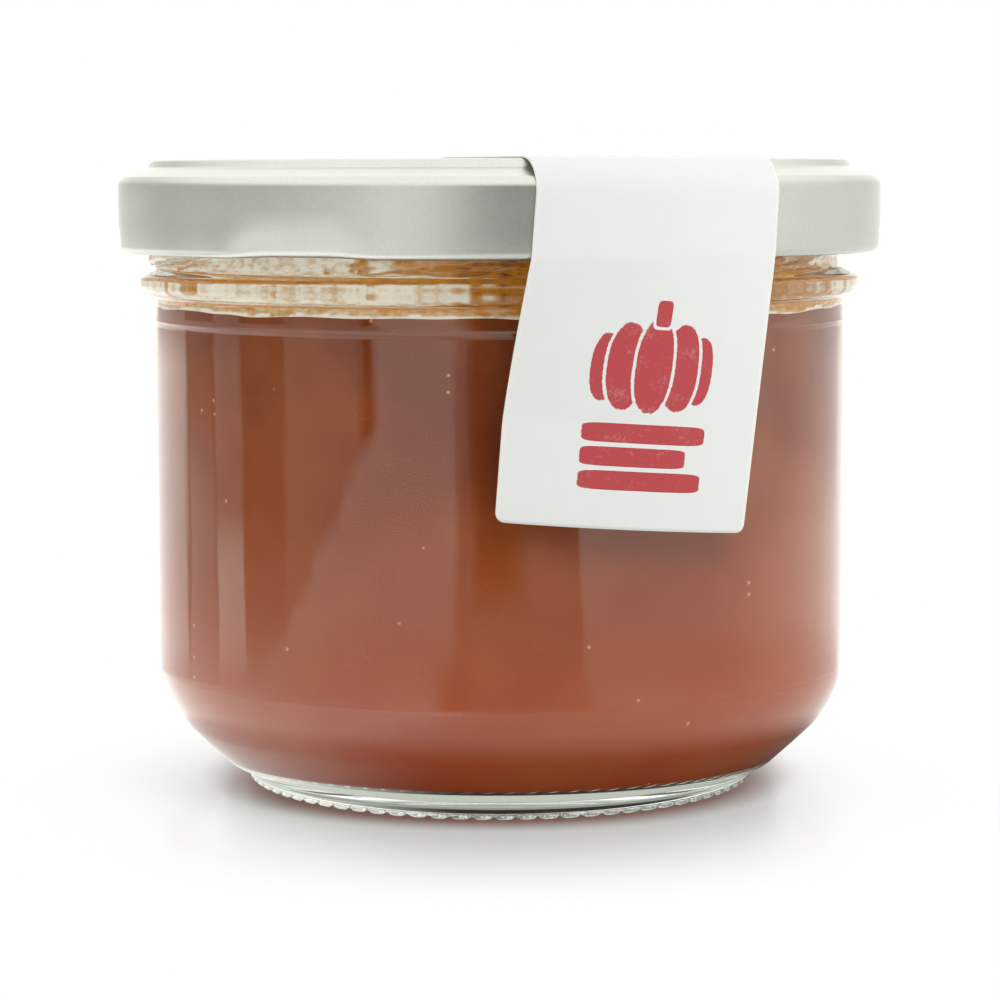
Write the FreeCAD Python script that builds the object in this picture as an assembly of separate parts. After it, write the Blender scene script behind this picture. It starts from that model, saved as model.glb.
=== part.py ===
import FreeCAD, Part

import math
import os

# Jar of pumpkin jam: a low glass jar with a slanted heel, closed by an 82 mm twist-off cap, with a paper
# strip folded over the cap. Units are mm. The origin is the centre of the circle the jar stands on, +Z is up
# and the front is -Y. Angles round the jar are in degrees from the front, growing towards +X.

# ---- driving dimensions -------------------------------------------------------------------------------------

CAP_D = 86.0                  # outside of an 82 mm twist-off cap
BODY_D = 78.34                # straight side of the glass
TOTAL_H = 70.15               # floor to the top of the cap
STARTS = 6                    # threads on the glass and lugs in the cap
PITCH_DEG = 360.0 / STARTS

# glass: heel and foot
WALL = 2.75
HEEL_DEG = 47.0               # slant of the heel from the vertical
HEEL_CORNER_Z = 9.5           # where slant and side would meet without their rounding
HEEL_R = 9.0
HEEL_END_Z = 2.4
FOOT_R = 29.1
RIB_H = 0.36                  # the ribs carry the jar; the plain glass stays this far off the floor
RIB_COUNT = 76
RIB_ARC_R = 1.55
RIB_FLAT = 0.05               # depth of the flat that each rib stands on
RIB_W = 1.9
RIB_SLANT_DEG = 24.0
RIB_IN_R = 26.3
RIB_OUT_R = 29.25
PUSH_UP = 1.35                # rise of the shallow dome under the jar
PUSH_UP_FLAT_R = 12.0         # where its slope would meet its flat middle
PUSH_UP_ROUND = 60.0
FLOOR_IN_Z = 4.5              # inside floor of the glass

# glass: shoulder ring, seam, neck and rim
SEAM_Z = 52.4
SEAM_H = 0.12
RING_R = 41.0
RING_Z0 = 54.95
RING_Z1 = 57.6
NECK_R = 38.8
NECK_Z0 = 58.85
NECK_IN_R = 36.0
RIM_R = 38.55
RIM_ROUND = 0.9

# glass: thread ridges
THREAD_R = 40.2
THREAD_START_DEG = -84.0
THREAD_SPAN_DEG = 56.0
THREAD_Z0 = 57.75             # underside of a ridge at its low end
THREAD_RISE = 3.5
THREAD_ROOT_W = 2.3
THREAD_TOP_W = 1.0
THREAD_TAPER_DEG = 9.0
THREAD_STATIONS = 13

# jam
JAM_TOP_Z = 53.7
JAM_GAP = 0.05                # assembly clearance to the glass
MENISCUS_H = 0.5
MENISCUS_W = 2.2

# cap
SHEET = 0.25
CAP_R = CAP_D / 2
RIDGE_OUT_R = 39.2
RIDGE_IN_R = 34.6
PANEL_DROP = 1.05
BUTTON_R = 13.0
BUTTON_H = 0.45
STEP_Z = 69.3
SHOULDER_R = 42.3
SHOULDER_Z = 68.35
SKIRT_TOP_Z = 67.6
BAND_TOP_Z = 63.0             # below this the skirt carries the lugs
BAND_LAP = 0.4                # the band reaches this far up inside the skirt's sheet
BAND_INSET = 0.02             # and lies this far under the sheet's two sides
CURL_Z = 59.9                 # lower edge of the cap
LUG_AT_DEG = -29.5
LUG_SPAN_DEG = 27.0
LUG_FLAT_DEG = 9.0
LUG_STATIONS = 15
LUG_DENT = 0.8                # how far a lug's outside is pressed in
LUG_REACH = 1.75              # how far its rolled edge reaches inwards past the plain one

# paper strip
STRIP_W = 27.8
STRIP_T = 0.16
STRIP_AIR = 0.05              # between the paper and what it lies on
STRIP_AT_DEG = 24.05          # where its middle crosses the edge of the cap
STRIP_LEAN = 0.078            # sideways run of the strip for each mm of its length
STRIP_FOLD_R = 39.0           # the fold over the edge starts here
STRIP_EDGE_R = CAP_R + 0.15
STRIP_SIDE_Z = 66.4           # from here the strip runs straight down
STRIP_FOLD_RUN = 6.2
STRIP_HANG_Z = 60.2           # below this it leaves the cap
STRIP_LAND_RUN = 17.0         # its left edge meets the glass this far below the cap
STRIP_LAND_CURVE = 1.25
STRIP_STAND_OFF = 0.108       # its right edge nears the glass by this much for each mm
STRIP_TOP_RUN = 26.0          # length that lies on top of the cap
STRIP_SIDE_RUN = 40.6         # length from the start of the fold to the lower edge
STRIP_CORNER_R = 1.0
STRIP_ROWS = 42
STRIP_COLUMNS = 9


# ---- shared helpers -----------------------------------------------------------------------------------------

def polar(radius, angle_deg, z=0.0):
    """Point at an angle counted from the front (-Y) towards +X."""
    a = math.radians(angle_deg)
    return FreeCAD.Vector(radius * math.sin(a), -radius * math.cos(a), z)


def rounded_wire(corners, closed=True):
    """Wire in the XZ plane through (x, z, rounding radius) corners, with an arc at each rounded one."""
    points = [FreeCAD.Vector(x, 0, z) for x, z, _ in corners]
    count = len(points)
    ends = []
    for i, (_, _, radius) in enumerate(corners):
        here = points[i]
        if radius <= 0 or (not closed and i in (0, count - 1)):
            ends.append((here, here, None))
            continue
        before = (points[i - 1] - here).normalize()
        after = (points[(i + 1) % count] - here).normalize()
        half = before.getAngle(after) / 2
        reach = radius / math.tan(half)
        bisector = (before + after).normalize()
        middle = here + bisector * (radius / math.sin(half) - radius)
        ends.append((here + before * reach, here + after * reach, middle))
    edges = []
    for i in range(count):
        start, end, middle = ends[i]
        if middle is not None:
            edges.append(Part.Arc(start, middle, end).toShape())
        if i < count - 1 or closed:
            following = ends[(i + 1) % count][0]
            if end.distanceToPoint(following) > 1e-6:
                edges.append(Part.makeLine(end, following))
    return Part.Wire(edges)


def revolved(corners):
    """Solid of revolution round Z from a closed outline of rounded corners."""
    face = Part.Face(rounded_wire(corners))
    return face.revolve(FreeCAD.Vector(0, 0, 0), FreeCAD.Vector(0, 0, 1), 360)


def section(points, angle_deg):
    """Closed outline of (radius, z) points, standing in the half plane at an angle."""
    corners = [polar(r, angle_deg, z) for r, z in points]
    return Part.makePolygon(corners + corners[:1])


def spread(first, last, count):
    """Evenly spaced values from first to last."""
    return [first + (last - first) * i / (count - 1) for i in range(count)]


def smooth_step(x):
    """0 below 0, 1 above 1, and an even S between."""
    x = min(1.0, max(0.0, x))
    return x * x * (3 - 2 * x)


def export(shape, node):
    """Writes one node as STEP and prints what it holds."""
    shape.exportStep("parts/" + node + ".step")
    print(node, "valid", shape.isValid(), "solids", len(shape.Solids), "cm3", round(shape.Volume / 1000, 2))


# ---- glass --------------------------------------------------------------------------------------------------

def heel_point(offset, z):
    """Radius of the heel's slant at a height, moved inwards through the glass by offset."""
    slant = math.radians(HEEL_DEG)
    return BODY_D / 2 - offset / math.cos(slant) - (HEEL_CORNER_Z - z) * math.tan(slant)


def heel_corner(offset, radius):
    """Height at which the slant, moved inwards by offset, meets a vertical wall of the given radius."""
    slant = math.radians(HEEL_DEG)
    return HEEL_CORNER_Z - (BODY_D / 2 - offset / math.cos(slant) - radius) / math.tan(slant)


def inside_corners(gap):
    """Corners of the jar's hollow from the middle of its floor up to the shoulder."""
    wall_r = BODY_D / 2 - WALL
    return [
        (0, FLOOR_IN_Z, 0),
        (heel_point(WALL + gap, FLOOR_IN_Z), FLOOR_IN_Z, 3.0),
        (wall_r - gap, heel_corner(WALL + gap, wall_r - gap), HEEL_R - WALL),
    ]


def glass_body():
    """The blown jar without its foot ribs and threads."""
    body_r = BODY_D / 2
    outside = [
        (NECK_IN_R, TOTAL_H - SHEET, RIM_ROUND),
        (RIM_R, TOTAL_H - SHEET, RIM_ROUND),
        (RIM_R, TOTAL_H - 3.2, 0.4),
        (NECK_R, TOTAL_H - 3.6, 0.4),
        (NECK_R, NECK_Z0, 0.5),
        (RING_R, RING_Z1, 0.9),
        (RING_R, RING_Z0, 1.1),
        (body_r, RING_Z0 - 0.1, 0.4),
        (body_r, SEAM_Z + 0.25, 0),
        (body_r + SEAM_H, SEAM_Z, 0),
        (body_r, SEAM_Z - 0.25, 0),
        (body_r, HEEL_CORNER_Z, HEEL_R),
        (heel_point(0, HEEL_END_Z), HEEL_END_Z, 0.8),
        (FOOT_R, HEEL_END_Z - 0.25, 0.4),
        (FOOT_R - 0.35, RIB_H, 0.5),
        (RIB_IN_R - 0.7, RIB_H, 0),
        (PUSH_UP_FLAT_R, RIB_H + PUSH_UP, PUSH_UP_ROUND),
        (0, RIB_H + PUSH_UP, 0),
    ]
    inside = inside_corners(0) + [
        (body_r - WALL, RING_Z0, 4.0),
        (NECK_IN_R, NECK_Z0 + 1.0, 4.0),
    ]
    return revolved(outside + inside)


def foot_rib(angle_deg):
    """One slanted bar of the knurled ring that the jar stands on, round below and open to its neighbours."""
    length = RIB_OUT_R - RIB_IN_R + 2.0
    bar = Part.makeCylinder(RIB_ARC_R, length, FreeCAD.Vector(0, 0, RIB_ARC_R - RIB_FLAT),
                            FreeCAD.Vector(0, -1, 0))
    slab = Part.makeBox(RIB_W, length, RIB_H + 0.3, FreeCAD.Vector(-RIB_W / 2, -length, 0))
    rib = bar.common(slab)
    middle = (RIB_IN_R + RIB_OUT_R) / 2
    rib.translate(FreeCAD.Vector(0, length / 2, 0))
    rib.rotate(FreeCAD.Vector(0, 0, 0), FreeCAD.Vector(0, 0, 1), RIB_SLANT_DEG)
    rib.translate(FreeCAD.Vector(0, -middle, 0))
    rib.rotate(FreeCAD.Vector(0, 0, 0), FreeCAD.Vector(0, 0, 1), angle_deg)
    return rib


def foot_ribs():
    """The whole knurled ring, trimmed to a round outline with softened ends."""
    trim = revolved([
        (RIB_IN_R, 0, 0.3),
        (RIB_OUT_R - 0.35, 0, 0.3),
        (RIB_OUT_R - 0.35, RIB_H + 0.3, 0),
        (RIB_IN_R, RIB_H + 0.3, 0),
    ])
    ribs = [foot_rib(i * 360.0 / RIB_COUNT) for i in range(RIB_COUNT)]
    return Part.makeCompound(ribs).common(trim).Solids


def thread_ridge(start_deg):
    """One thread ridge, rising towards +X round the neck and running out at both ends."""
    outlines = []
    for turn in spread(0, THREAD_SPAN_DEG, THREAD_STATIONS):
        to_end = min(turn, THREAD_SPAN_DEG - turn) / THREAD_TAPER_DEG
        height = 0.12 + 0.88 * smooth_step(to_end)
        low = THREAD_Z0 + THREAD_RISE * turn / THREAD_SPAN_DEG
        root_r = NECK_R - 0.4
        crest_r = NECK_R + (THREAD_R - NECK_R) * height
        flank = (THREAD_ROOT_W - THREAD_TOP_W) / 2
        outlines.append(section([
            (root_r, low),
            (crest_r, low + flank * 0.7),
            (crest_r, low + flank * 0.7 + THREAD_TOP_W),
            (root_r, low + THREAD_ROOT_W),
        ], start_deg + turn))
    return Part.makeLoft(outlines, True, False)


def make_jar():
    """Glass jar with its six threads and its knurled foot."""
    ridges = [thread_ridge(THREAD_START_DEG + i * PITCH_DEG) for i in range(STARTS)]
    return glass_body().fuse(ridges).fuse(foot_ribs())


# ---- jam ----------------------------------------------------------------------------------------------------

def make_jam():
    """Jam up to its level in the glass, drawn up a little where it clings to the wall."""
    wall_r = BODY_D / 2 - WALL - JAM_GAP
    surface = [
        (wall_r, JAM_TOP_Z + MENISCUS_H, 0.2),
        (wall_r - 0.5, JAM_TOP_Z + MENISCUS_H, 0.4),
        (wall_r - MENISCUS_W, JAM_TOP_Z, 1.5),
        (0, JAM_TOP_Z, 0),
    ]
    return revolved(inside_corners(JAM_GAP) + surface)


# ---- cap ----------------------------------------------------------------------------------------------------

def cap_top_face():
    """Half section of the cap from the safety button out to the plain part of the skirt."""
    panel_z = TOTAL_H - PANEL_DROP
    upper = [
        (0, panel_z + BUTTON_H, 0),
        (BUTTON_R - 2.0, panel_z + BUTTON_H, 3.0),
        (BUTTON_R, panel_z, 2.0),
        (RIDGE_IN_R - 1.3, panel_z, 1.0),
        (RIDGE_IN_R, TOTAL_H, 0.8),
        (RIDGE_OUT_R, TOTAL_H, 0.45),
        (RIDGE_OUT_R + 0.5, STEP_Z, 0.5),
        (SHOULDER_R, SHOULDER_Z, 0.6),
        (CAP_R, SKIRT_TOP_Z, 0.9),
        (CAP_R, BAND_TOP_Z, 0),
    ]
    lower = [
        (CAP_R - SHEET, BAND_TOP_Z, 0),
        (CAP_R - SHEET, SKIRT_TOP_Z - 0.1, 0.65),
        (SHOULDER_R - 0.07, SHOULDER_Z - SHEET, 0.35),
        (RIDGE_OUT_R + 0.32, STEP_Z - SHEET + 0.03, 0.3),
        (RIDGE_OUT_R - 0.22, TOTAL_H - SHEET, 0.2),
        (RIDGE_IN_R + 0.16, TOTAL_H - SHEET, 0.55),
        (RIDGE_IN_R - 1.14, panel_z - SHEET, 1.25),
        (BUTTON_R + 0.06, panel_z - SHEET, 1.75),
        (BUTTON_R - 1.94, panel_z + BUTTON_H - SHEET, 3.25),
        (0, panel_z + BUTTON_H - SHEET, 0),
    ]
    return Part.Face(rounded_wire(upper + lower))


def curl_outline(push):
    """Outline of the skirt's lower band with its rolled edge, pressed inwards by push from 0 to 1."""
    outer_r = CAP_R - BAND_INSET
    inner_r = CAP_R - SHEET + BAND_INSET
    dent = LUG_DENT * push
    reach = LUG_REACH * push
    return [
        (outer_r, BAND_TOP_Z + BAND_LAP),
        (outer_r - 0.10 * dent, CURL_Z + 2.30),
        (outer_r - 0.34 * dent, CURL_Z + 1.70),
        (outer_r - 0.04 - 0.62 * dent, CURL_Z + 1.15),
        (outer_r - 0.22 - 0.84 * dent, CURL_Z + 0.60 + 0.10 * push),
        (outer_r - 0.52 - dent, CURL_Z + 0.18 + 0.16 * push),
        (outer_r - 0.95 - 0.72 * reach, CURL_Z + 0.16 * push),
        (outer_r - 1.45 - 0.90 * reach, CURL_Z + 0.08 + 0.12 * push),
        (outer_r - 1.80 - reach, CURL_Z + 0.42),
        (outer_r - 1.80 - reach, CURL_Z + 0.95 - 0.30 * push),
        (outer_r - 1.40 - 0.86 * reach, CURL_Z + 1.35 - 0.60 * push),
        (outer_r - 0.85 - 0.55 * reach, CURL_Z + 1.50 - 0.40 * push),
        (inner_r - 0.17 - 0.55 * dent, CURL_Z + 1.80),
        (inner_r - 0.02 - 0.12 * dent, CURL_Z + 2.40),
        (inner_r, BAND_TOP_Z + BAND_LAP),
    ]


def pressed_lug(middle_deg):
    """Stretch of the lower band that is pressed in to reach under a thread."""
    half = LUG_SPAN_DEG / 2
    flat = LUG_FLAT_DEG / 2
    outlines = []
    for turn in spread(-half, half, LUG_STATIONS):
        push = smooth_step((half - abs(turn)) / (half - flat))
        outlines.append(section(curl_outline(push), middle_deg + turn))
    return Part.makeLoft(outlines, True, False)


def plain_curl(start_deg, span_deg):
    """Stretch of the lower band between two lugs."""
    face = Part.Face(section(curl_outline(0), start_deg))
    return face.revolve(FreeCAD.Vector(0, 0, 0), FreeCAD.Vector(0, 0, 1), span_deg)


def make_lid():
    """Twist-off cap: panel with safety button, stepped shoulder, skirt, rolled edge and six pressed lugs."""
    top = cap_top_face().revolve(FreeCAD.Vector(0, 0, 0), FreeCAD.Vector(0, 0, 1), 360)
    band = []
    for i in range(STARTS):
        middle = LUG_AT_DEG + i * PITCH_DEG
        band.append(pressed_lug(middle))
        band.append(plain_curl(middle + LUG_SPAN_DEG / 2, PITCH_DEG - LUG_SPAN_DEG))
    return top.fuse(band)


# ---- paper strip --------------------------------------------------------------------------------------------

def strip_hang_radius(z, side):
    """Radius of the hanging paper; side runs from 0 at its left edge to 1 at its right edge."""
    below = max(0.0, STRIP_HANG_Z - z)
    to_glass = STRIP_EDGE_R - BODY_D / 2 - STRIP_AIR
    left = STRIP_EDGE_R - to_glass * (1 - max(0.0, 1 - below / STRIP_LAND_RUN) ** STRIP_LAND_CURVE)
    right = STRIP_EDGE_R - STRIP_STAND_OFF * below
    return left + (right - left) * side


def strip_point(run, across, lift):
    """Point of the strip: run along its length from the top's edge, across its width, lift off its inner side."""
    lean = math.atan(STRIP_LEAN)
    arc = across * math.cos(lean) - run * math.sin(lean)
    down = run * math.cos(lean) + across * math.sin(lean)
    turn = arc / STRIP_EDGE_R
    sideways = STRIP_EDGE_R * math.sin(turn)
    if down < 0:
        ahead = math.sqrt(STRIP_FOLD_R ** 2 - sideways ** 2) + down
        height = TOTAL_H + STRIP_AIR + lift
    elif down < STRIP_FOLD_RUN:
        bend = math.pi / 2 * down / STRIP_FOLD_RUN
        radius = STRIP_FOLD_R + (STRIP_EDGE_R - STRIP_FOLD_R + lift) * math.sin(bend)
        ahead = math.sqrt(radius ** 2 - sideways ** 2)
        height = STRIP_SIDE_Z + (TOTAL_H + STRIP_AIR + lift - STRIP_SIDE_Z) * math.cos(bend)
    else:
        height = STRIP_SIDE_Z - (down - STRIP_FOLD_RUN)
        radius = strip_hang_radius(height, across / STRIP_W + 0.5)
        turn = arc / radius
        sideways = (radius + lift) * math.sin(turn)
        ahead = (radius + lift) * math.cos(turn)
    middle = polar(1.0, STRIP_AT_DEG)
    across_way = polar(1.0, STRIP_AT_DEG + 90.0)
    return middle * ahead + across_way * sideways + FreeCAD.Vector(0, 0, height)


def strip_side(lift):
    """Smooth face through the strip's points at one lift."""
    rows = [
        [strip_point(run, across, lift) for across in spread(-STRIP_W / 2, STRIP_W / 2, STRIP_COLUMNS)]
        for run in spread(-STRIP_TOP_RUN, STRIP_SIDE_RUN, STRIP_ROWS)
    ]
    surface = Part.BSplineSurface()
    surface.interpolate(rows)
    return surface


def corner_cutter(run, across):
    """Tool that rounds one corner of the strip: the square at the corner without its quarter disc."""
    to_run = math.copysign(STRIP_CORNER_R, run)
    to_across = math.copysign(STRIP_CORNER_R, across)
    corner = strip_point(run, across, 0)
    along = (corner - strip_point(run - to_run, across, 0)).normalize()
    aside = (corner - strip_point(run, across - to_across, 0)).normalize()
    normal = along.cross(aside).normalize()
    centre = corner - (along + aside) * STRIP_CORNER_R
    middle = centre + (along + aside).normalize() * STRIP_CORNER_R
    start = centre + along * STRIP_CORNER_R
    end = centre + aside * STRIP_CORNER_R
    beyond = corner + (along + aside) * STRIP_CORNER_R
    outline = Part.Wire([
        Part.Arc(start, middle, end).toShape(),
        Part.makeLine(end, end + aside * STRIP_CORNER_R),
        Part.makeLine(end + aside * STRIP_CORNER_R, beyond),
        Part.makeLine(beyond, start + along * STRIP_CORNER_R),
        Part.makeLine(start + along * STRIP_CORNER_R, start),
    ])
    face = Part.Face(outline)
    face.translate(normal * -1.0)
    return face.extrude(normal * 2.0)


def make_label():
    """Paper strip that lies on the cap, folds over its edge and hangs down to the glass, a little askew."""
    inner = strip_side(0)
    outer = strip_side(STRIP_T)
    faces = [inner.toShape(), outer.toShape()]
    for first, second in zip(faces[0].Edges, faces[1].Edges):
        faces.append(Part.makeRuledSurface(first, second))
    shell = Part.makeShell(faces)
    shell.sewShape()
    strip = Part.Solid(shell)
    if strip.Volume < 0:
        strip.reverse()
    for run in (-STRIP_TOP_RUN, STRIP_SIDE_RUN):
        for across in (-STRIP_W / 2, STRIP_W / 2):
            strip = strip.cut(corner_cutter(run, across))
    return strip


os.makedirs("parts", exist_ok=True)
export(make_jar(), "jar")
export(make_jam(), "jam")
export(make_lid(), "lid")
export(make_label(), "label")
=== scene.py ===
"""Looks of a jar of pumpkin jam: clear glass, jam, twist-off cap and paper strip on a pale studio floor.

Sizes are in millimetres and angles in degrees from the front (-Y) towards +X; meshes are written in metres.
"""

import logging
import math
from dataclasses import dataclass, field
from enum import Enum
from typing import Callable, ClassVar, Iterable, Sequence

import bmesh
import bpy
from mathutils import Matrix, Vector, noise

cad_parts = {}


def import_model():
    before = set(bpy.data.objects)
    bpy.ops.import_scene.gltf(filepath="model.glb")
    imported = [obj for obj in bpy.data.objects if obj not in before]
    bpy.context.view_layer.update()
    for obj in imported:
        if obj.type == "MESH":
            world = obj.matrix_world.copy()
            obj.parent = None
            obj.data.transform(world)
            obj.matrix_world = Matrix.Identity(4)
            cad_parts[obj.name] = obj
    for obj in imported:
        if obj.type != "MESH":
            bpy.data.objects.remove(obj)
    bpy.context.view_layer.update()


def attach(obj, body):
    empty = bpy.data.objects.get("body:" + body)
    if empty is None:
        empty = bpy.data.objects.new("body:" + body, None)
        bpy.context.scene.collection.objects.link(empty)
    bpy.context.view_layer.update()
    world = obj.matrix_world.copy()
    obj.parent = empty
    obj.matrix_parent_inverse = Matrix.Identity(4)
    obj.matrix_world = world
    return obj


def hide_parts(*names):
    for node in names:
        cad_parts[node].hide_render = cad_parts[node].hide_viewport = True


log = logging.getLogger("jam_jar")

MM = 0.001

Colour = tuple[float, float, float, float]
Span = tuple[float, float]
Socket = bpy.types.NodeSocket

WHITE: Colour = (1.0, 1.0, 1.0, 1.0)


# ---- geometry helpers ----------------------------------------------------------------------------


def smooth_step(value: float) -> float:
    """0 below 0, 1 above 1, and an even S between."""
    value = min(1.0, max(0.0, value))
    return value * value * (3.0 - 2.0 * value)


def azimuth_of(place: Vector) -> float:
    """Angle of a place from the front towards +X, in degrees."""
    return math.degrees(math.atan2(place.x, -place.y))


def angle_between(first: float, second: float) -> float:
    """Signed difference of two angles, between -180 and 180 degrees."""
    return (first - second + 180.0) % 360.0 - 180.0


def polar(radius: float, azimuth: float, z: float) -> Vector:
    """Place in millimetres at an angle from the front."""
    turn = math.radians(azimuth)
    return Vector((radius * math.sin(turn), -radius * math.cos(turn), z))


def set_radius(place: Vector, radius: float) -> None:
    """Moves a place straight out or in until it is this far from the axis, in metres."""
    now = math.hypot(place.x, place.y)
    if now > 1e-9:
        place.x *= radius / now
        place.y *= radius / now


def roughly(place: Vector, size: float, seed: float) -> float:
    """Smooth noise from about -1 to 1 whose bumps are about size millimetres wide."""
    step = 1.0 / (size * MM)
    return noise.noise(Vector((place.x * step + seed, place.y * step - seed, place.z * step + 2.0 * seed)))


@dataclass(frozen=True)
class Corner:
    """Corner of a section: distance from the axis, height, rounding radius and the parts of its arc."""

    r: float
    z: float
    rounding: float = 0.0
    parts: int = 3


def section(corners: Sequence[Corner], longest: Callable[[Vector], float]) -> bmesh.types.BMesh:
    """Makes the open section of a turned piece in the XZ plane.

    Args:
        corners: The section's corners in order.
        longest: Gives the longest edge allowed near a place, in millimetres.

    Returns:
        A mesh of joined edges with rounded corners.
    """
    bm = bmesh.new()
    verts = [bm.verts.new((c.r * MM, 0.0, c.z * MM)) for c in corners]
    for first, second in zip(verts, verts[1:]):
        bm.edges.new((first, second))
    for corner, vert in zip(corners, verts):
        if corner.rounding <= 0.0:
            continue
        ways = [edge.other_vert(vert).co - vert.co for edge in vert.link_edges]
        reach = corner.rounding * MM / math.tan(ways[0].angle(ways[1]) / 2.0)
        bmesh.ops.bevel(
            bm, geom=[vert], offset=reach, offset_type="OFFSET", segments=corner.parts,
            profile=0.5, affect="VERTICES", material=-1,
        )
    for edge in list(bm.edges):
        middle = (edge.verts[0].co + edge.verts[1].co) / 2.0
        cuts = int(edge.calc_length() / (longest(middle) * MM))
        if cuts > 0:
            bmesh.ops.subdivide_edges(bm, edges=[edge], cuts=cuts)
    return bm


def turn_round(bm: bmesh.types.BMesh, steps: int) -> None:
    """Turns a section all the way round the axis and closes its seam and poles.

    An eighth is spun and then doubled three times, which is much quicker than one full spin.

    Args:
        bm: The section, changed into the turned mesh.
        steps: Parts of the full turn, a multiple of 8.
    """
    centre, axis, angle = (0.0, 0.0, 0.0), (0.0, 0.0, 1.0), math.pi / 4.0
    bmesh.ops.spin(
        bm, geom=list(bm.verts) + list(bm.edges), cent=centre, axis=axis, dvec=centre, angle=angle,
        steps=steps // 8, use_merge=False,
    )
    while angle < 6.0:
        geom = list(bm.verts) + list(bm.edges) + list(bm.faces)
        copy = bmesh.ops.duplicate(bm, geom=geom)["geom"]
        turned = [item for item in copy if isinstance(item, bmesh.types.BMVert)]
        bmesh.ops.rotate(bm, verts=turned, cent=centre, matrix=Matrix.Rotation(angle, 3, "Z"))
        angle *= 2.0
    bmesh.ops.remove_doubles(bm, verts=bm.verts, dist=1e-6)


def drawn_out(place: Vector, stretch: float) -> Vector:
    """The place with its height stretched, so that noise read there lies in flat streaks."""
    return Vector((place.x, place.y, place.z * stretch))


def finish_piece(bm: bmesh.types.BMesh, name: str, smooth: bool = True) -> bpy.types.Object:
    """Turns faces outwards, shades them and makes the object.

    Args:
        bm: The finished mesh, freed here.
        name: The piece's name.
        smooth: Whether faces are shaded smooth.

    Returns:
        The piece's object at the origin.
    """
    bmesh.ops.recalc_face_normals(bm, faces=bm.faces)
    for face in bm.faces:
        face.smooth = smooth
    mesh = bpy.data.meshes.new(name)
    bm.to_mesh(mesh)
    bm.free()
    piece = bpy.data.objects.new(name, mesh)
    bpy.context.scene.collection.objects.link(piece)
    return piece


def settle(piece: bpy.types.Object, material: bpy.types.Material, slot: str, *nodes: str) -> None:
    """Dresses a piece, puts it on the part's body and hides the nodes that it stands for.

    Args:
        piece: The piece.
        material: Its material.
        slot: Not used.
        *nodes: The nodes that it replaces.
    """
    piece.data.materials.append(material)
    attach(piece, "root")
    if nodes:
        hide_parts(*nodes)
    triangles = sum(len(face.vertices) - 2 for face in piece.data.polygons)
    log.info("%s: %d triangles, %s", piece.name, triangles, material.name)


class TurnedPiece:
    """Piece made by turning a section round the axis and then moving its points one by one."""

    piece: ClassVar[str]
    slot: ClassVar[str]
    node: ClassVar[str]
    steps: int

    def outline(self) -> list[Corner]:
        """Corners of the section in order."""
        raise NotImplementedError

    def longest(self, place: Vector) -> float:
        """Longest edge of the section near a place, in millimetres."""
        raise NotImplementedError

    def shape(self, place: Vector) -> None:
        """Moves one point of the turned mesh."""
        raise NotImplementedError

    def build(self, material: bpy.types.Material) -> None:
        """Builds the piece in place of its node.

        Args:
            material: Its finish.
        """
        bm = section(self.outline(), self.longest)
        turn_round(bm, self.steps)
        for vert in bm.verts:
            self.shape(vert.co)
        settle(finish_piece(bm, self.piece), material, self.slot, self.node)


# ---- material helpers ----------------------------------------------------------------------------


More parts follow.
